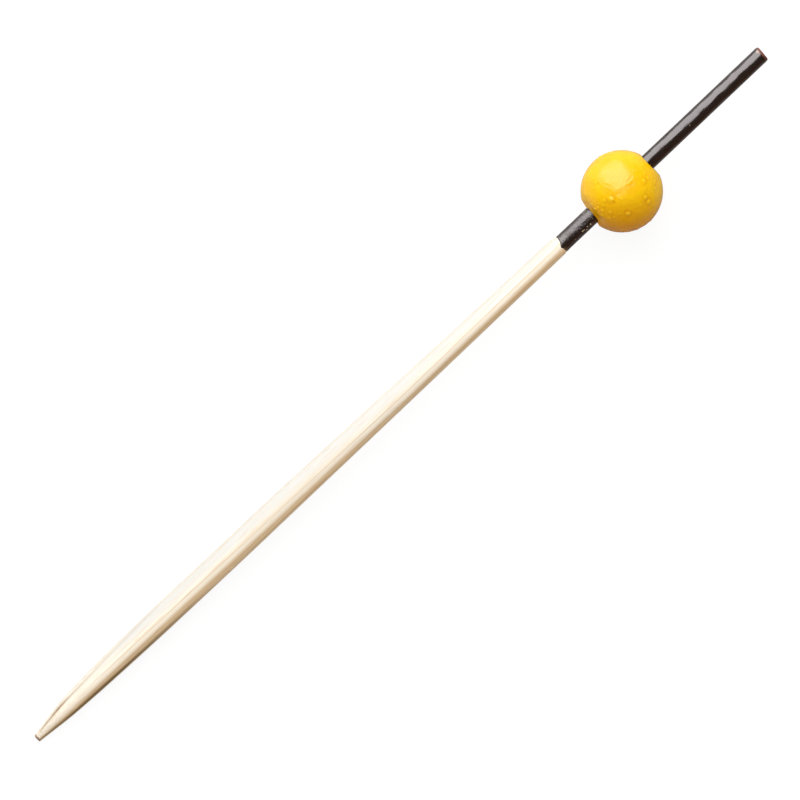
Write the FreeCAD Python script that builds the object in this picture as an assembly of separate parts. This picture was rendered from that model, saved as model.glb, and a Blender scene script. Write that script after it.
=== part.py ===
"""Cocktail pick: a sharpened bamboo stick with a painted wooden ball on its lacquered head end.

Millimetres. Each piece is drawn along the stick: X runs from the cut tip of the point to the head end,
Y is the side that the point is whittled on, Z is up, and the turned head end is centred on the X axis.
The finished pick is then tipped until the ball and the flat under the point both lie on the table.
"""
import FreeCAD, Part
import math
import os

# The whittled point
TIP_WIDTH = 0.82          # blunt cut tip, left between the back of the point and the side facet
TIP_BLANK_WIDTH = 1.40    # the same place before the side facet is cut
TIP_DEPTH = 0.95
TIP_BACK = 0.22           # "back" is the straight side's distance from the head end's axis
FACET_LENGTH = 5.8        # facet on the side of the point
FACET_ROLL = 15.0         # degrees that the side facet leans up
FLAT_UNDER_AXIS = 0.45    # flat under the point, below the head end's axis at the tip

FACET_END_WIDTH = 2.45
FACET_END_DEPTH = 2.20
FACET_END_BACK = 0.80

NOSE_LENGTH = 12.5        # end of the quick taper behind the point
NOSE_WIDTH = 2.92
NOSE_DEPTH = 2.72
NOSE_BACK = 1.00

# The belly, the thickest stretch, and the long taper that is shaved on one side only
BELLY_START = 22.0
BELLY_END = 36.0
BELLY_WIDTH = 3.12
BELLY_DEPTH = 2.95
BELLY_BACK = 1.12
STRAIGHT_BACK = 1.20
FLANK_SHARE = 0.32        # two stations on the taper, as shares of its length
WAIST_SHARE = 0.64
FLANK_WIDTH = 2.92
WAIST_WIDTH = 2.64
SHOULDER_WIDTH = 2.36
SHOULDER_DEPTH = 2.27
SHOULDER_BACK = 1.14

SECTION_POINTS = 12
SHAVING_STROKES = 16      # short straight spans that make up the shaved length
STROKE_CROWDING = 1.5     # above 1, the spans are shorter towards the point

# The turned and lacquered head end
STICK_LENGTH = 120.0
SHOULDER_TO_BALL = 10.0   # small shoulder, where the turned end begins, to the ball's centre
SEAT_DIAMETER = 2.15
HEAD_DIAMETER = 2.04
HEAD_LAP = 1.5            # length of the turned end that runs into the shaved part
TAPER_STANDOUT = 0.2      # the jam taper in the ball ends this far outside it
END_SLANT = 3.0           # degrees that the head end's cut leans
END_BREAK = 0.12          # broken rim of the cut

# The ball
BALL_DIAMETER = 9.9
BALL_TO_HEAD_END = 23.7   # ball centre to the stick's head end
BORE_OFFSET = 0.37        # the drill ran this far beside the ball's centre
BORE_CLEARANCE = 0.02     # on the radius, over the seat
HEAD_FLAT = 4.63          # ball centre to the flat where the head end comes out
TIP_FLAT = 4.62           # ball centre to the slanted flat on the other side
TIP_FLAT_SLANT = 11.0     # degrees
HEAD_MOUTH = 0.12         # broken edge of the bore, along the axis
TIP_MOUTH = 0.42

ORIGIN = FreeCAD.Vector(0, 0, 0)
TO_HEAD = FreeCAD.Vector(1, 0, 0)
TO_POINT = FreeCAD.Vector(-1, 0, 0)
SIDEWAYS = FreeCAD.Vector(0, 1, 0)

BALL_RADIUS = BALL_DIAMETER / 2
SEAT_RADIUS = SEAT_DIAMETER / 2
HEAD_RADIUS = HEAD_DIAMETER / 2
BORE_RADIUS = SEAT_RADIUS + BORE_CLEARANCE
BALL_AT = STICK_LENGTH - BALL_TO_HEAD_END
SHOULDER_AT = BALL_AT - SHOULDER_TO_BALL
FLANK_AT = BELLY_END + FLANK_SHARE * (SHOULDER_AT - BELLY_END)
WAIST_AT = BELLY_END + WAIST_SHARE * (SHOULDER_AT - BELLY_END)
TAPER_END_AT = BALL_AT + HEAD_FLAT + TAPER_STANDOUT

WIDTHS = [
    (0.0, TIP_BLANK_WIDTH),
    (FACET_LENGTH, FACET_END_WIDTH),
    (NOSE_LENGTH, NOSE_WIDTH),
    (BELLY_START, BELLY_WIDTH),
    (BELLY_END, BELLY_WIDTH),
    (FLANK_AT, FLANK_WIDTH),
    (WAIST_AT, WAIST_WIDTH),
    (SHOULDER_AT, SHOULDER_WIDTH),
]
DEPTHS = [
    (0.0, TIP_DEPTH),
    (FACET_LENGTH, FACET_END_DEPTH),
    (NOSE_LENGTH, NOSE_DEPTH),
    (BELLY_START, BELLY_DEPTH),
    (BELLY_END, BELLY_DEPTH),
    (SHOULDER_AT, SHOULDER_DEPTH),
]
BACKS = [
    (0.0, TIP_BACK),
    (FACET_LENGTH, FACET_END_BACK),
    (NOSE_LENGTH, NOSE_BACK),
    (BELLY_START, BELLY_BACK),
    (BELLY_END, STRAIGHT_BACK),
    (WAIST_AT, STRAIGHT_BACK),
    (SHOULDER_AT, SHOULDER_BACK),
]


def resting_tilt():
    """Angle of the table to the stick's axis: it meets the flat's front edge and is tangent to the ball."""
    reach = math.hypot(BALL_AT, FLAT_UNDER_AXIS)
    return math.asin(BALL_RADIUS / reach) - math.atan2(FLAT_UNDER_AXIS, BALL_AT)


def secant(stations, index):
    """Slope of the straight line between one station and the next."""
    start, end = stations[index], stations[index + 1]
    return (end[1] - start[1]) / (end[0] - start[0])


def station_slope(stations, index):
    """Slope of the smooth curve at a station: none at a crest, else the harmonic mean of its two sides."""
    if index == 0:
        return secant(stations, 0)
    if index == len(stations) - 1:
        return secant(stations, index - 1)
    before = secant(stations, index - 1)
    after = secant(stations, index)
    if before * after <= 0:
        return 0.0
    return 2 * before * after / (before + after)


def along(stations, at):
    """Size at a distance from the tip, on a cubic curve through the stations that never overshoots them."""
    index = max(i for i in range(len(stations) - 1) if stations[i][0] <= at)
    start, end = stations[index], stations[index + 1]
    span = end[0] - start[0]
    t = (at - start[0]) / span
    rise = end[1] - start[1]
    leave = station_slope(stations, index) * span
    arrive = station_slope(stations, index + 1) * span
    return start[1] + t * (leave + t * (3 * rise - 2 * leave - arrive + t * (leave + arrive - 2 * rise)))


def section(at):
    """Closed smooth outline of the stick at a distance from the tip: an oval laid against the straight back."""
    half_width = along(WIDTHS, at) / 2
    half_depth = along(DEPTHS, at) / 2
    centre = half_width - along(BACKS, at)
    points = []
    for step in range(SECTION_POINTS):
        turn = 2 * math.pi * step / SECTION_POINTS
        side = centre + half_width * math.cos(turn)
        height = half_depth * math.sin(turn)
        points.append(FreeCAD.Vector(at, side, height))
    outline = Part.BSplineCurve()
    outline.interpolate(Points=points, PeriodicFlag=True, Parameters=list(range(SECTION_POINTS + 1)))
    return Part.Wire([outline.toShape()])


def beyond(point, normal, reach):
    """Everything on the far side of a flat cut, as a stout round block standing on the cut."""
    return Part.makeCylinder(reach, reach, point, normal)


def shaved_length():
    """The shaved stick from the tip to the shoulder, in short strokes, before the point is whittled."""
    shares = [(stroke / SHAVING_STROKES) ** STROKE_CROWDING for stroke in range(SHAVING_STROKES + 1)]
    return Part.makeLoft([section(SHOULDER_AT * share) for share in shares], True, True)


def side_facet():
    """The wedge that one stroke of the knife takes off the side of the point."""
    start = FreeCAD.Vector(0, TIP_WIDTH - TIP_BACK, 0)
    end = FreeCAD.Vector(FACET_LENGTH, FACET_END_WIDTH - FACET_END_BACK, 0)
    run = end - start
    level_normal = FreeCAD.Vector(-run.y, run.x, 0).normalize()
    lean = math.radians(FACET_ROLL)
    normal = level_normal * math.cos(lean) + FreeCAD.Vector(0, 0, math.sin(lean))
    return beyond(start, normal, 2 * FACET_LENGTH)


def flat_under_point(tilt):
    """The long wedge that leaves a flat under the point, which the pick lies on beside its ball."""
    edge = FreeCAD.Vector(0, 0, -FLAT_UNDER_AXIS)
    normal = FreeCAD.Vector(-math.sin(tilt), 0, -math.cos(tilt))
    return beyond(edge, normal, BELLY_END)


def turned_end():
    """The round head end: seat under the ball, jam taper inside it, thinner end above it."""
    root = SHOULDER_AT - HEAD_LAP
    past_end = STICK_LENGTH + HEAD_DIAMETER
    outline = Part.makePolygon([
        FreeCAD.Vector(root, 0, 0),
        FreeCAD.Vector(root, SEAT_RADIUS, 0),
        FreeCAD.Vector(BALL_AT, SEAT_RADIUS, 0),
        FreeCAD.Vector(TAPER_END_AT, HEAD_RADIUS, 0),
        FreeCAD.Vector(past_end, HEAD_RADIUS, 0),
        FreeCAD.Vector(past_end, 0, 0),
        FreeCAD.Vector(root, 0, 0),
    ])
    return Part.Face(outline).revolve(ORIGIN, TO_HEAD, 360)


def cut_head_end(turned):
    """Cuts the head end to length with a slightly slanted cut and breaks its rim."""
    lean = math.radians(END_SLANT)
    normal = FreeCAD.Vector(math.cos(lean), -math.sin(lean), 0)
    cut = turned.cut(beyond(TO_HEAD * STICK_LENGTH, normal, 2 * HEAD_DIAMETER))
    rim = [edge for edge in cut.Edges if edge.BoundBox.XMin > STICK_LENGTH - HEAD_RADIUS / 2]
    return cut.makeChamfer(END_BREAK, rim)


def make_stick(tilt):
    """The whole stick, point to head end, as one piece."""
    shaved = shaved_length().cut(side_facet()).cut(flat_under_point(tilt))
    return shaved.fuse(cut_head_end(turned_end())).removeSplitter()


def bore_mouth(face_at, depth, outwards):
    """Cone that breaks the edge of the bore where it comes out of a flat, and runs on past the ball."""
    reach = depth + HEAD_DIAMETER
    root = TO_HEAD * face_at - outwards * depth
    return Part.makeCone(BORE_RADIUS, BORE_RADIUS + reach, reach, root, outwards)


def make_bead():
    """The turned ball, drilled beside its centre, with its two worn flats."""
    centre = FreeCAD.Vector(BALL_AT, -BORE_OFFSET, 0)
    slant = math.radians(TIP_FLAT_SLANT)
    tip_normal = FreeCAD.Vector(-math.cos(slant), math.sin(slant), 0)
    tip_face_at = BALL_AT - (TIP_FLAT - BORE_OFFSET * math.sin(slant)) / math.cos(slant)
    ball = Part.makeSphere(BALL_RADIUS, centre)
    ball = ball.cut(beyond(centre + TO_HEAD * HEAD_FLAT, TO_HEAD, BALL_DIAMETER))
    ball = ball.cut(beyond(centre + tip_normal * TIP_FLAT, tip_normal, BALL_DIAMETER))
    ball = ball.cut(Part.makeCylinder(BORE_RADIUS, 2 * BALL_DIAMETER, TO_HEAD * (BALL_AT - BALL_DIAMETER), TO_HEAD))
    ball = ball.cut(bore_mouth(BALL_AT + HEAD_FLAT, HEAD_MOUTH, TO_HEAD))
    return ball.cut(bore_mouth(tip_face_at, TIP_MOUTH, TO_POINT))


def lay_down(pieces, tilt):
    """Tips the pick to rest and moves the middle of its footprint, on the table, to the origin."""
    for shape in pieces.values():
        shape.rotate(ORIGIN, SIDEWAYS, -math.degrees(tilt))
    box = Part.makeCompound(list(pieces.values())).optimalBoundingBox(False)
    shift = FreeCAD.Vector(-box.Center.x, -box.Center.y, -box.ZMin)
    for shape in pieces.values():
        shape.translate(shift)
    return shift


tilt = resting_tilt()
pieces = {"stick": make_stick(tilt), "bead": make_bead()}
shift = lay_down(pieces, tilt)
print("tilt", round(math.degrees(tilt), 4), "degrees, shift", tuple(round(v, 4) for v in shift))
os.makedirs("parts", exist_ok=True)
for name, shape in pieces.items():
    print(name, shape.isValid(), len(shape.Solids), "solid,", round(shape.Volume, 2), "mm3")
    shape.exportStep("parts/" + name + ".step")
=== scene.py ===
"""Cocktail pick: a whittled bamboo stick, lacquered black at its head end, with a yellow painted wooden ball.

The finished pick lies on the table along X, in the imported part's frame, in metres. Its pieces are drawn in
millimetres, by the distance along the stick from its tip, to the side and up, and then laid down to rest.
"""
import math

import bpy
import numpy as np
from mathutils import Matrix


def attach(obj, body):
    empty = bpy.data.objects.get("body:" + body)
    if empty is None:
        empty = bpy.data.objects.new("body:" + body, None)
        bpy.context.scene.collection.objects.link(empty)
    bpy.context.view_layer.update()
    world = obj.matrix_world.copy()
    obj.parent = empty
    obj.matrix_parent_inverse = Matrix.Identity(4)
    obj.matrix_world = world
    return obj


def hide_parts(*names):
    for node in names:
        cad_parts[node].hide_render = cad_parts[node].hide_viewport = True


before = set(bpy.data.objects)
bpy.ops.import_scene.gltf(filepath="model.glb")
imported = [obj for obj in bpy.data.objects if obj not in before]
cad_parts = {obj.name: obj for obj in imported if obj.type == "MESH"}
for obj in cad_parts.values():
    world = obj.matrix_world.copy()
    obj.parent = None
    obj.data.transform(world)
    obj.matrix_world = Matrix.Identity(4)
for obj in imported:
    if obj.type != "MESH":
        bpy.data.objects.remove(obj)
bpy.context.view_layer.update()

# Bamboo stick
# One length of split bamboo, shaved round with a straight back, whittled to a point and turned thinner at the
# head. It runs through the ball and stands out above it. Its coated head end is set in by the coat's thickness.
MM = 1000                 # millimetres in a metre
STICK_LENGTH = 120.0
SHOULDER_AT, SHOULDER_EASE = 86.3, (0.10, 0.12)
HEAD_RADIUS = 1.02
# Stations along the stick, each a place and the size there. BACKS is how far the straight back is from the axis.
WIDTHS = [(0, 1.38), (5.8, 2.36), (12.5, 2.87), (22, 3.12),
          (36, 3.12), (52.1, 2.92), (68.2, 2.64), (SHOULDER_AT, 2.36)]
DEPTHS = [(0, 0.95), (5.8, 2.20), (12.5, 2.72), (22, 2.95), (36, 2.95), (SHOULDER_AT, 2.27)]
BACKS = [(0, 0.20), (5.8, 0.71), (12.5, 0.95), (22, 1.12), (36, 1.20), (68.2, 1.20), (SHOULDER_AT, 1.14)]
HEAD_RADII = [(SHOULDER_AT, 1.075), (96.3, 1.075), (101.13, HEAD_RADIUS), (121, HEAD_RADIUS)]
FACET_START, FACET_END, FACET_ROLL = (0, 0.60), (5.8, 1.65), 15.0       # along and to the side, and degrees
FLAT_UNDER_AXIS = 0.45
PLANE_PASSES = 8          # facet and flat meet, so the skin is moved back to both in turn until it settles
TIP_RIM = [(0, 0.93), (0.06, 1)]        # how much of the section's size is left beside the cut tip
END_SLANT, END_BREAK, END_DOME = 3.0, 0.12, 0.01              # degrees, and then millimetres
END_BROKEN = (0.83, 0.99)               # shares of the cut end's radius between which its rim is broken
COAT, SET_IN = 0.03, (86.5, 86.9)       # the wood is set in from the first of these places to the second
REST_TILT, REST_SHIFT = math.radians(2.6786), (-59.9549, 0.37, 0.4495)
SHARP_ANGLE = math.radians(40)          # edges with a bigger turn than this are shaded as edges


def smooth(low, high, value):
    """0 below low, 1 above high, and an S between them whose slope is level at both ends."""
    t = np.clip((value - low) / (high - low), 0, 1)
    return t * t * (3 - 2 * t)


def straight(stations, at):
    """Value at a place: straight lines between stations of place and value."""
    return np.interp(at, *np.array(stations, float).T)


def eased(stations, at):
    """Value at a place: a cubic between stations, whose slope at each is the harmonic mean of the slopes on its
    two sides, or level at a crest, so that it never overshoots."""
    place, size = np.array(stations, float).T
    span = np.diff(place)
    rise = np.diff(size) / span
    before, after = rise[:-1], rise[1:]
    crest = before * after <= 0
    inner = np.where(crest, 0, 2 * before * after / np.where(crest, 1, before + after))
    slope = np.concatenate([rise[:1], inner, rise[-1:]])
    index = np.clip(np.searchsorted(place, at, side="right") - 1, 0, len(rise) - 1)
    run = span[index]
    t = (at - place[index]) / run
    leave, arrive, change = slope[index] * run, slope[index + 1] * run, rise[index] * run
    bend = 3 * change - 2 * leave - arrive
    return size[index] + t * (leave + t * (bend + t * (leave + arrive - 2 * change)))


def stick_skin(at, turn, swell=0.0):
    """Points of the stick at a distance from the tip and a turn round it: an oval laid against the straight
    back, easing at the shoulder into a circle about the head end's axis. What lies past the side facet or the
    flat under the point is moved back to that plane within its section. Swell moves the skin outwards."""
    head = smooth(SHOULDER_AT - SHOULDER_EASE[0], SHOULDER_AT + SHOULDER_EASE[1], at)
    shaved = np.minimum(at, SHOULDER_AT)
    radius = straight(HEAD_RADII, at)
    half_width = eased(WIDTHS, shaved) / 2
    centre = (half_width - eased(BACKS, shaved)) * (1 - head)
    half_width = half_width * (1 - head) + radius * head
    half_depth = eased(DEPTHS, shaved) / 2 * (1 - head) + radius * head
    side = centre + (half_width + swell) * np.cos(turn)
    up = (half_depth + swell) * np.sin(turn)
    run = np.subtract(FACET_END, FACET_START) / math.dist(FACET_END, FACET_START)
    roll = math.radians(FACET_ROLL)
    facet = (-run[1] * math.cos(roll), run[0] * math.cos(roll), math.sin(roll))
    flat = (-math.sin(REST_TILT), 0.0, -math.cos(REST_TILT))
    for _ in range(PLANE_PASSES):
        for normal, anchor in ((facet, (FACET_START[1], 0)), (flat, (0, -FLAT_UNDER_AXIS))):
            past = normal[0] * at + normal[1] * (side - anchor[0]) + normal[2] * (up - anchor[1])
            back = np.maximum(past, 0) / (normal[1] ** 2 + normal[2] ** 2)
            side, up = side - back * normal[1], up - back * normal[2]
    return np.stack([at + 0 * side, side, up], axis=-1)


def laid_down(points):
    """The drawn pick at rest: turned about Y by the resting tilt, moved onto the table, and put in metres."""
    along, side, up = points[..., 0], points[..., 1], points[..., 2]
    c, s = math.cos(REST_TILT), math.sin(REST_TILT)
    return (np.stack([along * c - up * s, side, along * s + up * c], axis=-1) + REST_SHIFT) / MM


def skin_mesh(name, grid, ring=False, **attributes):
    """Mesh over a grid of points. Each row is closed round the piece. The rows are joined in order, and the
    last to the first where they make a ring, or else each end row is filled with a fan about its middle."""
    rows, columns = grid.shape[:2]
    number = np.arange(rows * columns).reshape(rows, columns)
    low, high = (number, np.roll(number, -1, 0)) if ring else (number[:-1], number[1:])
    faces = np.stack([low, np.roll(low, -1, 1), np.roll(high, -1, 1), high], axis=-1).reshape(-1, 4).tolist()
    points = grid.reshape(-1, 3)
    values = {key: np.broadcast_to(value, (rows, columns)).ravel() for key, value in attributes.items()}
    if not ring:
        first, last = rows * columns, rows * columns + 1
        points = np.vstack([points, grid[0].mean(0), grid[-1].mean(0)])
        values = {key: np.append(value, [value[0], value[-1]]) for key, value in values.items()}
        faces += np.stack([np.full(columns, first), np.roll(number[0], -1), number[0]], -1).tolist()
        faces += np.stack([np.full(columns, last), number[-1], np.roll(number[-1], -1)], -1).tolist()
    mesh = bpy.data.meshes.new(name)
    mesh.from_pydata(laid_down(points).tolist(), [], faces)
    for key, value in values.items():
        mesh.attributes.new(key, "FLOAT", "POINT").data.foreach_set("value", value.astype(np.float32))
    mesh.shade_smooth()
    mesh.set_sharp_from_angle(angle=SHARP_ANGLE)
    made = bpy.data.objects.new(name, mesh)
    bpy.context.scene.collection.objects.link(made)
    return made


def paint(colour):
    """An sRGB hex colour as linear red, green, blue and alpha."""
    value = np.array([int(colour[i:i + 2], 16) for i in (0, 2, 4)]) / 255
    return (*np.where(value <= 0.04045, value / 12.92, ((value + 0.055) / 1.055) ** 2.4), 1)


def add(tree, kind, inputs, **settings):
    """Adds a shader node with its settings, and fills its inputs with values or with other nodes' outputs."""
    made = tree.nodes.new("ShaderNode" + kind)
    for key, value in settings.items():
        setattr(made, key, value)
    for key, value in inputs.items():
        if isinstance(value, bpy.types.NodeSocket):
            tree.links.new(value, made.inputs[key])
        else:
            made.inputs[key].default_value = value
    return made


def drawn_place(tree):
    """Place on the stick in millimetres, as it is drawn: the rest shift and then the resting tilt undone."""
    place = add(tree, "TexCoord", {}).outputs["Object"]
    unmoved = add(tree, "Mapping", {"Vector": place, "Location": tuple(-v / MM for v in REST_SHIFT)}).outputs[0]
    return add(tree, "Mapping", {"Vector": unmoved, "Rotation": (0, REST_TILT, 0),
                                 "Scale": (MM, MM, MM)}).outputs[0]


# Rows lie close together at the cut tip, along the point, at the shoulder and beside the cut end.
COLUMNS = 160
turn = np.linspace(0, 2 * math.pi, COLUMNS, endpoint=False)[None, :]
at = np.concatenate([[0, 0.02, 0.06], np.arange(0.12, 8, 0.09), np.arange(8, 85.8, 0.28),
                     np.arange(85.8, 87.6, 0.06), np.arange(87.6, 119.7, 1.0),
                     np.linspace(119.72, 119.86, 6)])[:, None]
skin = stick_skin(at, turn, -COAT * smooth(*SET_IN, at))
middle = skin.mean(axis=1, keepdims=True)
skin = middle + (skin - middle) * straight(TIP_RIM, at)[..., None]

# The cut tip is closed by smaller rings of its rim, and the slanted cut end by rings of the head end's circle,
# whose rim is broken and whose face is domed.
tip_rings = np.array([0.15, 0.4, 0.7, 0.88])[:, None, None]
tip_middle = skin[:1].mean(axis=1, keepdims=True)
tip = tip_middle + (skin[:1] - tip_middle) * tip_rings
end_rings = np.array([0.985, 0.965, 0.93, 0.88, 0.8, 0.6, 0.4, 0.2, 0.05])[:, None]
end_radius = end_rings * (HEAD_RADIUS - COAT)
end_at = STICK_LENGTH + end_radius * np.cos(turn) * math.tan(math.radians(END_SLANT))
end_at = end_at - END_BREAK * smooth(*END_BROKEN, end_rings) - END_DOME * end_rings ** 2
end = np.stack([end_at, end_radius * np.cos(turn), end_radius * np.sin(turn)], axis=-1)
grid = np.concatenate([tip, skin, end])

# Painted shade that goes by place along the stick: where each line runs to the side of the axis, and how dark it
# is. The first is the edge of the side painted browner as shade, the second a shade line along the facet's upper
# edge, and the last a shade band along the straight back.
INNER_LINE = [(0, -0.06), (18, -0.23), (32, -0.42), (60, -0.72), (86, -0.52)]
SCORCH_LINE = [(0, 0.56), (0.8, 0.65), (4.8, 1.16), (5.8, 1.22), (9.9, 1.38),
               (13.3, 1.56), (19.5, 1.75), (24, 1.90)]
SCORCH_DARK = [(0.3, 0), (1.0, 0.5), (3.0, 0.75), (4.4, 0.95), (5.2, 0.8), (6.5, 0.5),
               (9.0, 0.34), (16, 0.18), (24, 0)]
BRUISE_WIDTH = [(0, 0.62), (3, 0.8), (8, 1.0)]          # share of its full width
BRUISE_DARK = [(0, 0.65), (2, 0.75), (6, 0.95), (13, 1), (19, 0.7), (29, 0)]

along, side, up = grid[..., 0], grid[..., 1], grid[..., 2]
from_back = side + eased(BACKS, np.clip(along, 0, SHOULDER_AT))
stick = skin_mesh("bamboo_stick", grid, along=along,
                  inner_gap=side - straight(INNER_LINE, along),
                  scorch_gap=side - straight(SCORCH_LINE, along),
                  scorch_dark=straight(SCORCH_DARK, along) * (up > 0),
                  edge_gap=from_back / straight(BRUISE_WIDTH, along),
                  edge_dark=straight(BRUISE_DARK, along))

# Moso bamboo, split and shaved dry. It gives the eye pale straw with long fibres, a satin sheen and darker cut
# ends. Painted shade browns the side away from the lamps, greys the side facing them and darkens the point's
# edges, and painted light lifts the straw where the lamps' light falls off.
LONG_FIBRES = (0.05, 4.5, 4.5)          # repeats in a millimetre: bundles 20 mm long and 0.22 mm wide
BROAD_BANDS = (0.016, 1.3, 1.3)         # bands 62 mm long and 0.77 mm wide
SHORT_PORES = (0.30, 8.0, 8.0)          # vessels 3.3 mm long and 0.125 mm wide
CLOSE_HAIRS = (0.09, 8.0, 8.0)          # 11 mm long and 0.125 mm wide, coarser than real, which would not show
FIBRE_RELIEF = 0.014

# Four grains drawn out along the stick. Lines between two colours waver with the fibres, by up to 0.25 mm.
bamboo = bpy.data.materials.new("moso_bamboo")
bamboo.use_nodes = True
tree, shader = bamboo.node_tree, bamboo.node_tree.nodes["Principled BSDF"]
level = drawn_place(tree)
long_fibres = add(tree, "Mapping", {"Vector": level, "Scale": LONG_FIBRES}).outputs[0]
broad_bands = add(tree, "Mapping", {"Vector": level, "Scale": BROAD_BANDS}).outputs[0]
short_pores = add(tree, "Mapping", {"Vector": level, "Scale": SHORT_PORES}).outputs[0]
close_hairs = add(tree, "Mapping", {"Vector": level, "Scale": CLOSE_HAIRS}).outputs[0]
fibre = add(tree, "TexNoise", {"Vector": long_fibres, "Scale": 1.0, "Detail": 5.0, "Roughness": 0.6}).outputs[0]
band = add(tree, "TexNoise", {"Vector": broad_bands, "Scale": 1.0, "Detail": 2.0}).outputs[0]
pore = add(tree, "TexNoise", {"Vector": short_pores, "Scale": 1.0, "Detail": 2.0}).outputs[0]
hair = add(tree, "TexNoise", {"Vector": close_hairs, "Scale": 1.0, "Detail": 3.0, "Roughness": 0.7}).outputs[0]
wander = add(tree, "Math", {0: fibre, 1: 0.5, 2: -0.25}, operation="MULTIPLY_ADD").outputs[0]

# Straw, painted cool and greyer towards the lamps and warm and lighter where their light falls off, as painted
# light, with fibres and broad bands in it. The side facing the lamps is painted grey as shade against their
# light, on its upper half and only past the point's nose.
gap = add(tree, "Attribute", {}, attribute_name="inner_gap").outputs["Fac"]
far = add(tree, "Attribute", {}, attribute_name="along").outputs["Fac"]
level_up = add(tree, "SeparateXYZ", {0: level}).outputs[2]
wandering = add(tree, "Math", {0: gap, 1: wander}, operation="ADD").outputs[0]
warmth = add(tree, "MapRange", {"Value": wandering, "From Min": 1.30, "From Max": 0.80}).outputs[0]
fine = add(tree, "MapRange", {"Value": fibre, "From Min": 0.44, "From Max": 0.66, "To Max": 0.6}).outputs[0]
wide = add(tree, "MapRange", {"Value": band, "From Min": 0.47, "From Max": 0.68, "To Max": 0.5}).outputs[0]
straw = add(tree, "Mix", {0: warmth, 6: paint("E7E0D3"), 7: paint("FFF3E0")}, data_type="RGBA").outputs[2]
banded = add(tree, "Mix", {0: wide, 6: straw, 7: paint("F4E6CE")}, data_type="RGBA").outputs[2]
fibrous = add(tree, "Mix", {0: fine, 6: banded, 7: paint("EFDDC1")}, data_type="RGBA").outputs[2]
# Painted shade on the side facing the lamps, where their light is strongest.
sunward = add(tree, "MapRange", {"Value": wandering, "From Min": 0.90, "From Max": 1.55,
                                 "To Max": 0.9}).outputs[0]
upper = add(tree, "MapRange", {"Value": level_up, "From Min": -0.3, "From Max": 0.5, "To Min": 0.3}).outputs[0]
past_nose = add(tree, "MapRange", {"Value": far, "From Min": 9.0, "From Max": 17.0}).outputs[0]
sunny = add(tree, "Math", {0: sunward, 1: upper}, operation="MULTIPLY").outputs[0]
sunned = add(tree, "Math", {0: sunny, 1: past_nose}, operation="MULTIPLY").outputs[0]
bleached = add(tree, "Mix", {0: sunned, 6: fibrous, 7: paint("D4D2CC")}, data_type="RGBA").outputs[2]

# Past the point, the flank nearer the table is painted darker, as shade against the lamps' light that falls most
# on it, and one brown vein runs 0.66 mm beside the line of the side painted as shade.
past_point = add(tree, "MapRange", {"Value": far, "From Min": 6.0, "From Max": 14.0}).outputs[0]
low_down = add(tree, "MapRange", {"Value": level_up, "From Min": 0.9, "From Max": 0.2,
                                  "To Max": 0.5}).outputs[0]
flank = add(tree, "Math", {0: low_down, 1: past_point}, operation="MULTIPLY").outputs[0]
flanked = add(tree, "Mix", {0: flank, 6: bleached, 7: paint("E0D1B4")}, data_type="RGBA").outputs[2]
vein_gap = add(tree, "Math", {0: gap, 1: -0.66}, operation="ADD").outputs[0]
vein_away = add(tree, "Math", {0: vein_gap}, operation="ABSOLUTE").outputs[0]
vein_line = add(tree, "MapRange", {"Value": vein_away, "From Min": 0.12, "From Max": 0.03,
                                   "To Max": 0.50}).outputs[0]
vein = add(tree, "Math", {0: vein_line, 1: past_point}, operation="MULTIPLY").outputs[0]
veined = add(tree, "Mix", {0: vein, 6: flanked, 7: paint("D2B287")}, data_type="RGBA").outputs[2]

# The side away from the lamps, painted browner with darker streaks as its shade, close hairs over both sides, a
# pale strip along the line between them, and dashes where pores are cut open.
# inner is the side away from the lamps, painted browner as its shade.
inner = add(tree, "MapRange", {"Value": wandering, "From Min": 0.34, "From Max": -0.17},
            interpolation_type="SMOOTHSTEP").outputs[0]
streak = add(tree, "MapRange", {"Value": fibre, "From Min": 0.46, "From Max": 0.60, "To Max": 0.55}).outputs[0]
streaked_inner = add(tree, "Mix", {0: streak, 6: paint("F0CFA2"), 7: paint("C99D69")},
                     data_type="RGBA").outputs[2]
sided = add(tree, "Mix", {0: inner, 6: veined, 7: streaked_inner}, data_type="RGBA").outputs[2]
hairs = add(tree, "MapRange", {"Value": hair, "From Min": 0.54, "From Max": 0.70, "To Max": 0.45}).outputs[0]
haired = add(tree, "Mix", {0: hairs, 6: sided, 7: paint("DDB98C")}, data_type="RGBA").outputs[2]
strip_gap = add(tree, "Math", {0: gap, 1: -0.35}, operation="ADD").outputs[0]
strip_away = add(tree, "Math", {0: strip_gap}, operation="ABSOLUTE").outputs[0]
strip = add(tree, "MapRange", {"Value": strip_away, "From Min": 0.20, "From Max": 0.05,
                               "To Max": 0.85}).outputs[0]
pale_strip = add(tree, "Mix", {0: strip, 6: haired, 7: paint("FFF0DA")}, data_type="RGBA").outputs[2]
dash = add(tree, "MapRange", {"Value": pore, "From Min": 0.62, "From Max": 0.74, "To Max": 0.45}).outputs[0]
dashed = add(tree, "Mix", {0: dash, 6: pale_strip, 7: paint("C79A66")}, data_type="RGBA").outputs[2]

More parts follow.
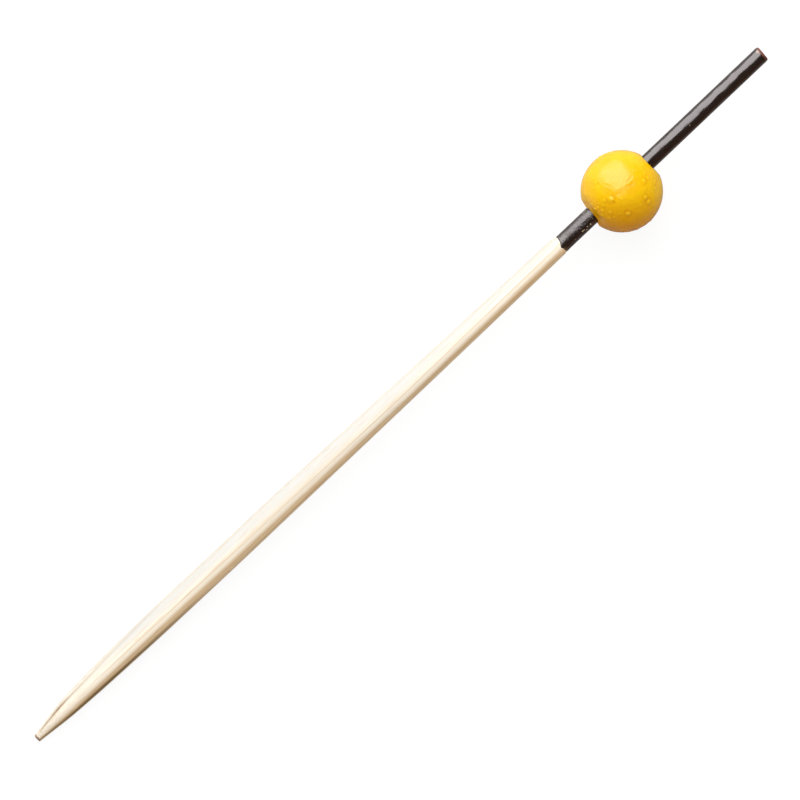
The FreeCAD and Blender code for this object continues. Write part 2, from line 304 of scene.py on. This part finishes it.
# Painted shade: a dark line along the facet's upper edge and on up the stick, and a dark band along the point's
# straight back, eased off at the very edge as painted light from the paper. Both cut ends show darker end wood.
# Painted shade along the facet's upper edge.
scorch = add(tree, "Attribute", {}, attribute_name="scorch_gap").outputs["Fac"]
scorch_wavy = add(tree, "Math", {0: wander, 1: 0.25, 2: scorch}, operation="MULTIPLY_ADD").outputs[0]
scorch_away = add(tree, "Math", {0: scorch_wavy}, operation="ABSOLUTE").outputs[0]
scorch_line = add(tree, "MapRange", {"Value": scorch_away, "From Min": 0.20, "From Max": 0.05}).outputs[0]
scorch_part = add(tree, "Attribute", {}, attribute_name="scorch_dark").outputs["Fac"]
scorched = add(tree, "Math", {0: scorch_line, 1: scorch_part}, operation="MULTIPLY").outputs[0]
marked = add(tree, "Mix", {0: scorched, 6: dashed, 7: paint("93734F")}, data_type="RGBA").outputs[2]
# Painted shade along the straight back, eased off at the very edge as painted light from the paper.
bruise = add(tree, "Attribute", {}, attribute_name="edge_gap").outputs["Fac"]
bruise_wavy = add(tree, "Math", {0: wander, 1: 0.35, 2: bruise}, operation="MULTIPLY_ADD").outputs[0]
bruise_line = add(tree, "MapRange", {"Value": bruise_wavy, "From Min": 0.52, "From Max": 0.24}).outputs[0]
bruise_edge = add(tree, "MapRange", {"Value": bruise, "From Min": 0.01, "From Max": 0.17,
                                     "To Min": 0.35}).outputs[0]
bruise_band = add(tree, "Math", {0: bruise_line, 1: bruise_edge}, operation="MULTIPLY").outputs[0]
bruise_part = add(tree, "Attribute", {}, attribute_name="edge_dark").outputs["Fac"]
bruised = add(tree, "Math", {0: bruise_band, 1: bruise_part}, operation="MULTIPLY").outputs[0]
darkened = add(tree, "Mix", {0: bruised, 6: marked, 7: paint("80612B")}, data_type="RGBA").outputs[2]
ragged_far = add(tree, "Math", {0: pore, 1: 0.25, 2: far}, operation="MULTIPLY_ADD").outputs[0]
tip_cut = add(tree, "MapRange", {"Value": ragged_far, "From Min": 0.44, "From Max": 0.30}).outputs[0]
tipped = add(tree, "Mix", {0: tip_cut, 6: darkened, 7: paint("9C7D63")}, data_type="RGBA").outputs[2]
head_cut = add(tree, "MapRange", {"Value": far, "From Min": 119.4, "From Max": 119.5}).outputs[0]
ended = add(tree, "Mix", {0: head_cut, 6: tipped, 7: paint("713620")}, data_type="RGBA").outputs[2]
tree.links.new(ended, shader.inputs["Base Color"])

# The fibres stand up a little and shine less where they are high, and the pores are sunk.
relief = add(tree, "Math", {0: fibre, 1: dash}, operation="SUBTRACT").outputs[0]
bump = add(tree, "Bump", {"Height": relief, "Strength": 1.0, "Distance": FIBRE_RELIEF / MM}).outputs[0]
tree.links.new(bump, shader.inputs["Normal"])
sheen = add(tree, "MapRange", {"Value": fibre, "From Min": 0.3, "From Max": 0.7,
                               "To Min": 0.50, "To Max": 0.62}).outputs[0]
tree.links.new(sheen, shader.inputs["Roughness"])
shader.inputs["IOR"].default_value = 1.45
stick.data.materials.append(bamboo)
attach(stick, "root")
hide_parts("stick")

# Black lacquer coat
# The head end is dipped in black lacquer before the ball goes on. The coat ends in a ragged edge at the
# shoulder, is rubbed and chipped below the ball, which was pushed over it, and is worn through at the cut end.
COAT_EDGE = [(-1.1, 86.46), (-0.6, 86.44), (-0.28, 86.28), (-0.10, 86.40),
             (0.28, 86.72), (0.8, 86.82), (1.1, 86.78)]       # to the side, and where the coat begins there
EDGE_RADIUS, END_GAP = 1.07, 0.25       # the stick's radius at that edge, and how far the other stops short
RAGGED, RAGGED_WAVES, WHOLE_TURN = 0.0175, range(3, 30), 6.28
LAP, LAP_END = 0.02, (86.7, 87.2)       # the coat stands this proud until the wood under it is set in
EDGE_THINNING, END_THINNING = (0.045, 0.16), (0.035, 0.07)    # how deep, and over what length
INSIDE_DEPTH, INSIDE_ROWS, COAT_COLUMNS = 0.06, 14, 150
FLECKS = [(89.60, -0.62, 0.11), (89.85, -0.65, 0.09), (90.12, -0.82, 0.10), (90.42, -0.61, 0.11),
          (90.90, -0.68, 0.12), (107.7, -0.25, 0.08), (88.3, -0.72, 0.05), (91.5, -0.35, 0.06)]
WORN_CORNER = (119.75, 0.55, 0.36)      # along, to the side, and radius, as for the pale flecks
RUBBED_FROM, RUBBED_TO = (90.5, 91.3), (92.2, 92.6)           # places where each mark fades in and out
# The rubbed ring is painted weaker on the side away from the lamps, as shade.
RUBBED_SIDE, RUBBED_LEAST = (-0.1, 0.5), 0.3                  # weaker on the side below the first of these
RUBBED_EDGE, EDGE_STRENGTH = (0.1, 0.8), 0.6
HANDLED_FROM, HANDLED_TO, HANDLED_LEAST = (87.8, 89.4), (91.5, 94), 0.7

coat_turn = np.linspace(0, 2 * math.pi, COAT_COLUMNS, endpoint=False)[None, :]
rng = np.random.default_rng(7)
ragged = sum(rng.normal(0, RAGGED / k ** 0.5) * np.cos(k * coat_turn + rng.uniform(0, WHOLE_TURN))
             for k in RAGGED_WAVES)
start_at = straight(COAT_EDGE, EDGE_RADIUS * np.cos(coat_turn)) + ragged
slant_at = HEAD_RADIUS * np.cos(coat_turn) * math.tan(math.radians(END_SLANT))
stop_at = STICK_LENGTH - END_GAP + slant_at + ragged
coat_rows = np.concatenate([[0, 0.0012, 0.0025, 0.004], np.linspace(0.006, 0.99, 470),
                            [0.994, 0.9975, 0.999, 1]])[:, None]
coat_at = start_at + coat_rows * (stop_at - start_at)
from_edge, to_end = coat_at - start_at, stop_at - coat_at
proud = LAP * (1 - smooth(*LAP_END, coat_at))
proud = proud - EDGE_THINNING[0] * (1 - smooth(0, EDGE_THINNING[1], from_edge))
proud = proud - END_THINNING[0] * (1 - smooth(0, END_THINNING[1], to_end))
outer = stick_skin(coat_at, coat_turn, proud)
inside_at = start_at + np.linspace(1, 0, INSIDE_ROWS)[:, None] * (stop_at - start_at)
inside = stick_skin(inside_at, coat_turn, -INSIDE_DEPTH)

# Marks by place: pale flecks and one worn corner on the upper side, a rubbed ring and edge, the ring painted
# weaker on the side away from the lamps as shade, and the stretch below the ball that was handled most. Each is
# 0 on the coat's hidden inside.
outer_along, outer_side, outer_up = outer[..., 0], outer[..., 1], outer[..., 2]
shown = outer_up > 0
fleck = sum(np.exp(-((outer_along - x) ** 2 + (outer_side - y) ** 2) / r ** 2) for x, y, r in FLECKS)
corner_away = np.hypot(outer_along - WORN_CORNER[0], outer_side - WORN_CORNER[1]) / WORN_CORNER[2]
rubbed = smooth(*RUBBED_FROM, coat_at) * (1 - smooth(*RUBBED_TO, coat_at))
# Painted shade: the ring is weaker on the side away from the lamps.
rubbed = rubbed * (RUBBED_LEAST + (1 - RUBBED_LEAST) * smooth(*RUBBED_SIDE, outer_side))
rubbed = rubbed + EDGE_STRENGTH * (1 - smooth(*RUBBED_EDGE, from_edge))
handled = HANDLED_LEAST + (1 - HANDLED_LEAST) * smooth(*HANDLED_FROM, coat_at)
handled = handled * (1 - smooth(*HANDLED_TO, coat_at))
marks = {"fleck": fleck * shown, "corner": np.exp(-corner_away ** 4) * shown,
         "rubbed": rubbed, "handled": handled}
hidden = np.zeros((INSIDE_ROWS, COAT_COLUMNS))
coat = skin_mesh("black_lacquer_coat", np.concatenate([outer, inside]), ring=True,
                 **{key: np.concatenate([mark, hidden]) for key, mark in marks.items()})

# Nitrocellulose lacquer, dipped. It gives the eye a hard gloss over the wood's grain, whose reflections are
# streaked along the stick, brown on the side away from the lamps as a painted warm reflection, and chips that
# show olive and pale wood.
GRAIN_STREAKS = (0.35, 3.5, 3.5)        # repeats in a millimetre: streaks 2.9 mm long and 0.29 mm wide
WAVES_SCALE, CHIPS_SCALE = 0.55, 3.2    # waves 1.8 mm across, and chips 0.31 mm across
FINE_RELIEF, WAVE_RELIEF = 0.022, 0.20

lacquer = bpy.data.materials.new("nitrocellulose_lacquer")
lacquer.use_nodes = True
tree, shader = lacquer.node_tree, lacquer.node_tree.nodes["Principled BSDF"]
level = drawn_place(tree)
streaks = add(tree, "Mapping", {"Vector": level, "Scale": GRAIN_STREAKS}).outputs[0]
grain = add(tree, "TexNoise", {"Vector": streaks, "Scale": 1.0, "Detail": 4.0, "Roughness": 0.6}).outputs[0]
waves = add(tree, "TexNoise", {"Vector": level, "Scale": WAVES_SCALE, "Detail": 1.0}).outputs[0]
chips = add(tree, "TexNoise", {"Vector": level, "Scale": CHIPS_SCALE, "Detail": 3.0,
                               "Roughness": 0.6}).outputs[0]
touch = add(tree, "Attribute", {}, attribute_name="handled").outputs["Fac"]
rub = add(tree, "Attribute", {}, attribute_name="rubbed").outputs["Fac"]

# Black with a brown grain, brown on the side away from the lamps as a painted warm reflection, lighter and
# stronger where rubbed, and olive where it is chipped.
apart = add(tree, "SeparateXYZ", {0: level})
thin_side = add(tree, "MapRange", {"Value": apart.outputs[1], "From Min": -0.35, "From Max": -0.95}).outputs[0]
thin_up = add(tree, "MapRange", {"Value": apart.outputs[2], "From Min": -0.8, "From Max": 0.0,
                                 "To Max": 0.8}).outputs[0]
thin = add(tree, "Math", {0: thin_side, 1: thin_up}, operation="MULTIPLY").outputs[0]
bared = add(tree, "Math", {0: rub, 1: 0.8, 2: 0.7}, operation="MULTIPLY_ADD").outputs[0]
thinned = add(tree, "Math", {0: thin, 1: bared}, operation="MULTIPLY", use_clamp=True).outputs[0]
body = add(tree, "Mix", {0: grain, 6: paint("1B1411"), 7: paint("33261F")}, data_type="RGBA").outputs[2]
brown = add(tree, "Mix", {0: rub, 6: paint("4A2C12"), 7: paint("7C5626")}, data_type="RGBA").outputs[2]
browned = add(tree, "Mix", {0: thinned, 6: body, 7: brown}, data_type="RGBA").outputs[2]
chip_sum = add(tree, "Math", {0: rub, 1: 0.30, 2: chips}, operation="MULTIPLY_ADD").outputs[0]
chip = add(tree, "MapRange", {"Value": chip_sum, "From Min": 0.72, "From Max": 0.90, "To Max": 0.8}).outputs[0]
chipped = add(tree, "Mix", {0: chip, 6: browned, 7: paint("5E593F")}, data_type="RGBA").outputs[2]

# Pale flecks and the worn corner, both with broken outlines.
dot = add(tree, "Attribute", {}, attribute_name="fleck").outputs["Fac"]
dot_sum = add(tree, "Math", {0: chips, 1: 0.9, 2: dot}, operation="MULTIPLY_ADD").outputs[0]
dot_part = add(tree, "MapRange", {"Value": dot_sum, "From Min": 0.85, "From Max": 1.05}).outputs[0]
dotted = add(tree, "Mix", {0: dot_part, 6: chipped, 7: paint("B09E80")}, data_type="RGBA").outputs[2]
worn = add(tree, "Attribute", {}, attribute_name="corner").outputs["Fac"]
worn_sum = add(tree, "Math", {0: chips, 1: 0.8, 2: worn}, operation="MULTIPLY_ADD").outputs[0]
worn_part = add(tree, "MapRange", {"Value": worn_sum, "From Min": 0.95, "From Max": 1.45,
                                   "To Max": 0.8}).outputs[0]
cornered = add(tree, "Mix", {0: worn_part, 6: dotted, 7: paint("A88A7C")}, data_type="RGBA").outputs[2]
tree.links.new(cornered, shader.inputs["Base Color"])

# Glossy along the grain, a little scuffed where it was handled, and dull in the chips.
gloss = add(tree, "MapRange", {"Value": grain, "From Min": 0.3, "From Max": 0.7,
                               "To Min": 0.12, "To Max": 0.25}).outputs[0]
scratched = add(tree, "Math", {0: touch, 1: chips}, operation="MULTIPLY").outputs[0]
scuffed = add(tree, "Math", {0: scratched, 1: 0.09, 2: gloss}, operation="MULTIPLY_ADD").outputs[0]
dulled = add(tree, "Mix", {0: chip, 2: scuffed, 3: 0.6}).outputs[0]
tree.links.new(dulled, shader.inputs["Roughness"])

# Fine relief from grain, scratches and chips, coarser where it was handled, over slow waves of the dipped film,
# which are flatter there.
coarse = add(tree, "Math", {0: touch, 1: 2.3, 2: 1.0}, operation="MULTIPLY_ADD").outputs[0]
streaked = add(tree, "Math", {0: grain, 1: coarse}, operation="MULTIPLY").outputs[0]
lumpy = add(tree, "Math", {0: scratched, 1: 3.2, 2: streaked}, operation="MULTIPLY_ADD").outputs[0]
sunk = add(tree, "Math", {0: chip, 1: -1.5, 2: lumpy}, operation="MULTIPLY_ADD").outputs[0]
fine_bump = add(tree, "Bump", {"Height": sunk, "Strength": 1.0, "Distance": FINE_RELIEF / MM}).outputs[0]
wave_strength = add(tree, "MapRange", {"Value": touch, "To Min": 1.0, "To Max": 0.3}).outputs[0]
bump = add(tree, "Bump", {"Height": waves, "Strength": wave_strength, "Distance": WAVE_RELIEF / MM,
                          "Normal": fine_bump}).outputs[0]
tree.links.new(bump, shader.inputs["Normal"])
shader.inputs["IOR"].default_value = 1.7
shader.inputs["Specular Tint"].default_value = paint("FFF8FA")
coat.data.materials.append(lacquer)
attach(coat, "root")
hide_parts("stick")

# Yellow ball
# A turned wooden ball, drilled a little beside its centre, tumbled in yellow paint and pushed on over the
# stick. Small flats round the bore are where balls touched in drying. Lumps of paint and one wrinkle stand up.
BALL_RADIUS, BALL_CENTRE, BORE_RADIUS = 4.95, np.array([96.3, -0.37, 0.0]), 1.095
HEAD_FLAT, TIP_FLAT, TIP_SLANT = 4.63, 4.62, math.radians(11.0)
HEAD_MOUTH, TIP_MOUTH = 0.12, 0.42
TORN_LIP, TORN_WIDTH = 0.36, 1.7        # where the drill tore the wood above the bore on the point's side
TORN_FROM, TORN_TO = (0.5, 1.3), (2.0, 3.4)
BALL_COLUMNS, BALL_ROWS, LIP_ROWS = 300, 230, 12
INSIDE_FLATS = 4.6                      # how far along the bore the first and last row are aimed

# Lumps that the photograph shows: along and to the side from the ball's centre, radius and height. The five
# from 0.95 to 2.08 along are the wrinkle. Pits have a height below 0.
LUMPS = [(-1.50, 0.18, 0.27, 0.090), (-2.64, -0.87, 0.18, 0.070), (-1.17, -2.48, 0.21, 0.115),
         (1.64, -2.48, 0.20, 0.090), (1.57, -3.14, 0.22, 0.105), (-0.10, -3.28, 0.30, 0.030),
         (2.90, -0.94, 0.21, 0.085), (3.50, -1.00, 0.16, 0.060), (3.77, -1.92, 0.20, 0.060),
         (0.95, 0.20, 0.17, 0.032), (1.22, 0.18, 0.17, 0.044), (1.50, 0.14, 0.17, 0.050),
         (1.80, 0.10, 0.16, 0.044), (2.08, 0.05, 0.15, 0.036), (-1.46, 1.76, 0.75, 0.035),
         (-3.68, 0.61, 0.17, 0.070), (-3.30, 0.55, 0.15, 0.060), (-3.14, -0.05, 0.16, 0.070),
         (-3.60, -0.47, 0.16, 0.065), (-2.15, 0.60, 0.15, 0.045), (-1.90, -1.75, 0.16, 0.055),
         (0.35, -1.60, 0.15, 0.025), (2.30, -1.75, 0.17, 0.050), (0.60, -2.75, 0.16, 0.045),
         (-2.95, 0.85, 0.15, 0.055), (-2.65, 0.25, 0.13, 0.045), (-3.20, -1.30, 0.17, 0.065),
         (-2.70, -1.65, 0.15, 0.055), (-3.60, 1.35, 0.15, 0.050), (3.55, -0.25, 0.16, 0.050),
         (3.10, 0.55, 0.14, 0.040), (3.20, -2.50, 0.18, 0.060)]
PITS = [(-1.17, -2.12, 0.20, -0.050), (2.90, -0.94, 0.09, -0.040), (-1.48, -0.22, 0.16, -0.030)]
SCATTERED, SCATTERED_RADII, SCATTERED_HEIGHTS = 70, (0.1, 0.28), (0.015, 0.06)
DRAWN, DRAWN_SPREAD = 150, (0.8, 1, 1)
UNSEEN_BELOW, UNSEEN_ASIDE, RESTS_BELOW, FLAT_PAST = 0.05, -0.88, -0.93, 0.85     # shares of the radius
MOAT, MOAT_AWAY, MOAT_SPREAD, MOAT_UP_TO = 0.12, 1.7, 0.9, 0.4    # share of the hill, radii, radii, and radius


def relief_of(points):
    """Height of the paint over the turned wood: at each lump a soft hill ringed by a shallow moat, the hill
    falling off as a bell over its own radius. The listed lumps stand on top. Others are scattered by a seeded
    draw over the unseen side, clear of the flats and of where the ball rests."""
    spots = [(x, y, math.sqrt(BALL_RADIUS ** 2 - x * x - y * y), r, h) for x, y, r, h in LUMPS + PITS]
    some = np.random.default_rng(11)
    heading = some.normal(size=(DRAWN, 3)) * DRAWN_SPREAD
    heading = heading / np.linalg.norm(heading, axis=1)[:, None]
    x, y, z = heading.T
    unseen, clear = (z < UNSEEN_BELOW) | (y < UNSEEN_ASIDE), (z > RESTS_BELOW) & (np.abs(x) < FLAT_PAST)
    heading = heading[unseen & clear][:SCATTERED] * BALL_RADIUS
    radii, heights = some.uniform(*SCATTERED_RADII, SCATTERED), some.uniform(*SCATTERED_HEIGHTS, SCATTERED)
    spots += [(*spot, r, h) for spot, r, h in zip(heading, radii, heights)]
    relief = np.zeros(points.shape[:-1])
    for x, y, z, radius, high in spots:
        away = np.linalg.norm(points - (x, y, z), axis=-1) / radius
        moat = MOAT if radius < MOAT_UP_TO else 0.0
        dip = moat * np.exp(-((away - MOAT_AWAY) / MOAT_SPREAD) ** 2)
        relief = relief + high * (np.exp(-away ** 2) - dip)
    return relief


def ball_skin(sweep, turn):
    """Points of the ball seen from the bore's middle: a sweep from the point's side to the head's and a turn
    round the bore give a line of sight, which is followed to the sphere. The torn lip is pushed in, and what
    lies past a flat is moved back to it. Gives the paint's height at each point as well."""
    ahead, outwards = -np.cos(sweep) + 0 * turn, np.sin(sweep)
    sight = np.stack([ahead, outwards * np.cos(turn), outwards * np.sin(turn)], axis=-1)
    aside = -BALL_CENTRE[1]
    reach = -aside * sight[..., 1] + np.sqrt(BALL_RADIUS ** 2 - aside ** 2 + (aside * sight[..., 1]) ** 2)
    points = np.array([0, aside, 0]) + reach[..., None] * sight
    relief = relief_of(points)
    points = points + relief[..., None] * points / BALL_RADIUS
    over = smooth(*TORN_FROM, points[..., 2]) * (1 - smooth(*TORN_TO, points[..., 2])) * (points[..., 0] < 0)
    torn = TORN_LIP * over * np.exp(-((points[..., 1] - aside) / TORN_WIDTH) ** 4)
    points = points + torn[..., None] * np.array([1.0, 0, 0])
    for normal, reach_of_flat in ((np.array([1.0, 0, 0]), HEAD_FLAT),
                                  (np.array([-math.cos(TIP_SLANT), math.sin(TIP_SLANT), 0]), TIP_FLAT)):
        points = points - np.maximum(points @ normal - reach_of_flat, 0)[..., None] * normal
    return BALL_CENTRE + points, relief


def mouth(ring, depth, inwards):
    """Rounded lip of the bore: a quarter ellipse from the ring on the flat to the bore's wall."""
    quarter = np.linspace(0, math.pi / 2, LIP_ROWS)[1:, None]
    wide = np.hypot(ring[..., 1], ring[..., 2])
    radius = wide - (wide - BORE_RADIUS) * np.sin(quarter)
    return np.stack([ring[..., 0] + inwards * depth * (1 - np.cos(quarter)),
                     radius * np.cos(ball_turn), radius * np.sin(ball_turn)], axis=-1)


ball_turn = np.linspace(0, 2 * math.pi, BALL_COLUMNS, endpoint=False)[None, :]
first_sweep = math.atan2(BORE_RADIUS + TIP_MOUTH, INSIDE_FLATS)
last_sweep = math.pi - math.atan2(BORE_RADIUS + HEAD_MOUTH, INSIDE_FLATS)
shell, raised = ball_skin(np.linspace(first_sweep, last_sweep, BALL_ROWS)[:, None], ball_turn)
tip_lip = mouth(shell[:1], TIP_MOUTH, 1)[::-1]
head_lip = mouth(shell[-1:], HEAD_MOUTH, -1)
wall_rows = np.linspace(1, 0, LIP_ROWS)[1:-1, None, None]
wall = tip_lip[:1] + wall_rows * (head_lip[-1:] - tip_lip[:1])
raised = np.pad(raised, ((len(tip_lip), len(head_lip) + len(wall)), (0, 0)))
ball = skin_mesh("yellow_ball", np.concatenate([tip_lip, shell, head_lip, wall]), ring=True, raised=raised)

# Alkyd enamel, tumbled on. It gives the eye a thick warm yellow film with a soft gloss, fine orange peel and
# slow waves. It is painted deeper in colour under the highlight, as shade against the lamps' light, and deeper
# orange on the side away from the lamps, as painted shade.
PEEL_SCALE, SLOW_SCALE = 3.0, 0.45      # repeats in a millimetre: orange peel 0.33 mm, slow waves 2.2 mm
PEEL_RELIEF, SLOW_RELIEF = 0.055, 0.14
BALL_MIDDLE = (0.03634, 0.0, 0.005)     # in metres, about where the ball's centre lies
# Towards the lamps, and towards the highlight: the two directions of the painted shade.
UNDRAINED, CROWN = (130, 165, 60), (42, 80, 181)    # directions from it that give about 1 at the surface

enamel = bpy.data.materials.new("yellow_alkyd_enamel")
enamel.use_nodes = True
tree, shader = enamel.node_tree, enamel.node_tree.nodes["Principled BSDF"]
place = add(tree, "TexCoord", {}).outputs["Object"]
level = add(tree, "Mapping", {"Vector": place, "Scale": (MM, MM, MM)}).outputs[0]
peel = add(tree, "TexNoise", {"Vector": level, "Scale": PEEL_SCALE, "Detail": 3.0, "Roughness": 0.6}).outputs[0]
slow = add(tree, "TexNoise", {"Vector": level, "Scale": SLOW_SCALE, "Detail": 2.0,
                              "Distortion": 0.6}).outputs[0]
tone = add(tree, "MapRange", {"Value": slow, "From Min": 0.35, "From Max": 0.65}).outputs[0]
film = add(tree, "Mix", {0: tone, 6: paint("FABF03"), 7: paint("FCC805")}, data_type="RGBA").outputs[2]
from_middle = add(tree, "Mapping", {"Vector": place, "Location": tuple(-v for v in BALL_MIDDLE)}).outputs[0]
# Painted shade under the highlight.
crown = add(tree, "VectorMath", {0: from_middle, 1: CROWN}, operation="DOT_PRODUCT").outputs["Value"]
settled = add(tree, "MapRange", {"Value": crown, "From Min": 0.80, "From Max": 0.98}).outputs[0]
thick = add(tree, "Mix", {0: settled, 6: film, 7: paint("FBB804")}, data_type="RGBA").outputs[2]
# Painted shade on the side away from the lamps.
undrained = add(tree, "VectorMath", {0: from_middle, 1: UNDRAINED},
                operation="DOT_PRODUCT").outputs["Value"]
drained = add(tree, "MapRange", {"Value": undrained, "From Min": 0.15, "From Max": -0.78}).outputs[0]
deep = add(tree, "Mix", {0: drained, 6: thick, 7: paint("E69600")}, data_type="RGBA").outputs[2]
pooled = add(tree, "MapRange", {"Value": peel, "From Min": 0.55, "From Max": 0.75, "To Max": 0.35}).outputs[0]
pooled_film = add(tree, "Mix", {0: pooled, 6: deep, 7: paint("F2A602")}, data_type="RGBA").outputs[2]

# Painted shade darkens the moat round each lump, and a painted highlight makes its crest paler.
raised_by = add(tree, "Attribute", {}, attribute_name="raised").outputs["Fac"]
rim = add(tree, "MapRange", {"Value": raised_by, "From Min": -0.001, "From Max": -0.012,
                             "To Max": 0.48}).outputs[0]
crest = add(tree, "MapRange", {"Value": raised_by, "From Min": 0.012, "From Max": 0.060,
                               "To Max": 0.5}).outputs[0]
rimmed = add(tree, "Mix", {0: rim, 6: pooled_film, 7: paint("D88A04")}, data_type="RGBA").outputs[2]
yellow = add(tree, "Mix", {0: crest, 6: rimmed, 7: paint("FFCE28")}, data_type="RGBA").outputs[2]
tree.links.new(yellow, shader.inputs["Base Color"])
gloss = add(tree, "MapRange", {"Value": peel, "From Min": 0.3, "From Max": 0.7,
                               "To Min": 0.16, "To Max": 0.27}).outputs[0]
tree.links.new(gloss, shader.inputs["Roughness"])
fine_bump = add(tree, "Bump", {"Height": peel, "Strength": 1.0, "Distance": PEEL_RELIEF / MM}).outputs[0]
bump = add(tree, "Bump", {"Height": slow, "Strength": 1.0, "Distance": SLOW_RELIEF / MM,
                          "Normal": fine_bump}).outputs[0]
tree.links.new(bump, shader.inputs["Normal"])
shader.inputs["IOR"].default_value = 1.38
ball.data.materials.append(enamel)
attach(ball, "root")
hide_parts("bead")

# Table, light and camera
# The pick lies on white paper, which glosses see as a painted pool of light, brighter towards the lamps. Two
# soft panels stand on that side, one for the colours and one for the gloss, and the camera looks straight down
# through a long lens.
TABLE_REACH, TABLE_DROP = 8, 0.00003    # metres
PAPER_GLOW, PAPER_TONE = 0.895, 0.125   # how white the camera sees it, by itself and in the panels' light
PAPER_LIT = 0.8                         # how much of the light it throws back on the pick
MIRRORED_REACH, MIRRORED_DARK, MIRRORED_BRIGHT = 0.03, 0.08, 0.75
FILL, MIRRORED_FILL = 0.41, 0.02        # light from all round, and how much of it shows in a gloss
PANELS = {"soft_panel": ((0.80, 1.34), (0.31, 0.37, 0.446), -42, 8.1),      # size and middle in metres, tilt
          "sheen_panel": ((0.82, 1.10), (0.26, 0.432, 0.417), -46, 15.8)}   # in degrees, and power in watts
LENS, SENSOR = 800, 36                  # millimetres
VIEW_MIDDLE, VIEW_WIDTH, VIEW_TURN = (-0.00029, 0.00014, 0.004), 0.09599, -43.49   # metres, and degrees

table = bpy.data.objects.new("table", bpy.data.meshes.new("table"))
corners = [(x * TABLE_REACH, y * TABLE_REACH, -TABLE_DROP) for x, y in ((-1, -1), (1, -1), (1, 1), (-1, 1))]
table.data.from_pydata(corners, [], [(0, 1, 2, 3)])
bpy.context.scene.collection.objects.link(table)
paper = bpy.data.materials.new("white_paper")
paper.use_nodes = True
tree = paper.node_tree
tree.nodes.clear()
rays = add(tree, "LightPath", {})
lit = add(tree, "BsdfDiffuse", {"Color": (PAPER_LIT, PAPER_LIT, PAPER_LIT, 1)}).outputs[0]
place = add(tree, "TexCoord", {}).outputs["Object"]
across = add(tree, "SeparateXYZ", {0: place}).outputs[1]
# Painted pool of light: what a gloss sees of the paper is dark on the far side and bright on the lamps' side.
near_lamp = add(tree, "MapRange", {"Value": across, "From Min": -MIRRORED_REACH, "From Max": MIRRORED_REACH,
                                   "To Min": MIRRORED_DARK, "To Max": MIRRORED_BRIGHT}).outputs[0]
mirrored = add(tree, "BsdfDiffuse", {"Color": near_lamp}).outputs[0]
unseen = add(tree, "MixShader", {0: rays.outputs["Is Glossy Ray"], 1: lit, 2: mirrored}).outputs[0]
seen = add(tree, "BsdfDiffuse", {"Color": (PAPER_TONE, PAPER_TONE, PAPER_TONE, 1)}).outputs[0]
glow = add(tree, "Emission", {"Color": (1, 1, 1, 1), "Strength": PAPER_GLOW}).outputs[0]
white = add(tree, "AddShader", {0: seen, 1: glow}).outputs[0]
surface = add(tree, "MixShader", {0: rays.outputs["Is Camera Ray"], 1: unseen, 2: white}).outputs[0]
add(tree, "OutputMaterial", {"Surface": surface})
table.data.materials.append(paper)

world = bpy.data.worlds.new("studio")
bpy.context.scene.world = world
world.use_nodes = True
tree = world.node_tree
rays = add(tree, "LightPath", {})
fill = add(tree, "Mix", {0: rays.outputs["Is Glossy Ray"], 2: FILL, 3: MIRRORED_FILL}).outputs[0]
strength = add(tree, "Mix", {0: rays.outputs["Is Camera Ray"], 2: fill, 3: 1.0}).outputs[0]
tree.nodes["Background"].inputs["Color"].default_value = (1, 1, 1, 1)
tree.links.new(strength, tree.nodes["Background"].inputs["Strength"])

for name, (size, middle, tilt, power) in PANELS.items():
    lamp = bpy.data.lights.new(name, "AREA")
    lamp.shape, lamp.size, lamp.size_y, lamp.energy = "RECTANGLE", *size, power
    panel = bpy.data.objects.new(name, lamp)
    panel.location, panel.rotation_euler = middle, (math.radians(tilt), 0, 0)
    panel.visible_camera = False
    panel.visible_diffuse = name == "soft_panel"
    panel.visible_glossy = name == "sheen_panel"
    bpy.context.scene.collection.objects.link(panel)

camera = bpy.data.objects.new("camera", bpy.data.cameras.new("camera"))
camera.data.lens, camera.data.sensor_width = LENS, SENSOR
camera.data.clip_start, camera.data.clip_end = 0.01, 40
camera.location = (*VIEW_MIDDLE[:2], VIEW_MIDDLE[2] + VIEW_WIDTH * LENS / SENSOR)
camera.rotation_euler = (0, 0, math.radians(VIEW_TURN))
bpy.context.scene.collection.objects.link(camera)
bpy.context.scene.camera = camera
bpy.context.scene.view_settings.view_transform = "Standard"

bpy.context.view_layer.update()
